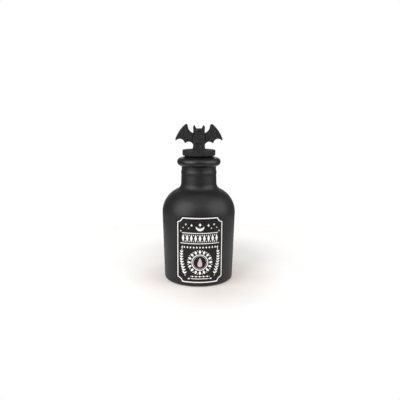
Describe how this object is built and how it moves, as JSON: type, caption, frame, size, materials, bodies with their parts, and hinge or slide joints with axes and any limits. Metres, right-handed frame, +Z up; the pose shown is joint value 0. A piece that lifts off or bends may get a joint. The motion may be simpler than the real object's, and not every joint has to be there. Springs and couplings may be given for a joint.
{
  "type": "poison bottle",
  "caption": "Small matte black glass apothecary bottle with round shoulders, a rolled lip, a wrapped front label and a lift-out stopper topped by a bat figure.",
  "frame": {"origin": "on the bottle's axis, in the plane that it stands on", "axes": "+Z up along the bottle's axis, -Y towards the label, +X to the right of someone who faces the label"},
  "size_m": [0.072, 0.0723, 0.1536],
  "materials": {
    "coated_glass": "opaque satin black coating on blown glass",
    "label_film": "satin printed film",
    "sleeve_rubber": "moulded, dull",
    "cast_resin": "cast, fine grain, matte"
  },
  "bodies": {
    "bottle": {"glass_bottle": "coated_glass", "front_label": "label_film"},
    "sleeve": {"plug_sleeve": "sleeve_rubber"},
    "stopper": {"stopper_cap": "cast_resin", "bat_finial": "cast_resin"}
  },
  "joints": [
    {"name": "stopper_lift", "type": "slide", "parent": "bottle", "child": "sleeve", "axis": [0, 0, 1], "range_m": [0, 0.04]},
    {"name": "stopper_twist", "type": "hinge", "parent": "sleeve", "child": "stopper", "pos_m": [0, 0, 0.1231], "axis": [0, 0, 1], "continuous": true}
  ]
}
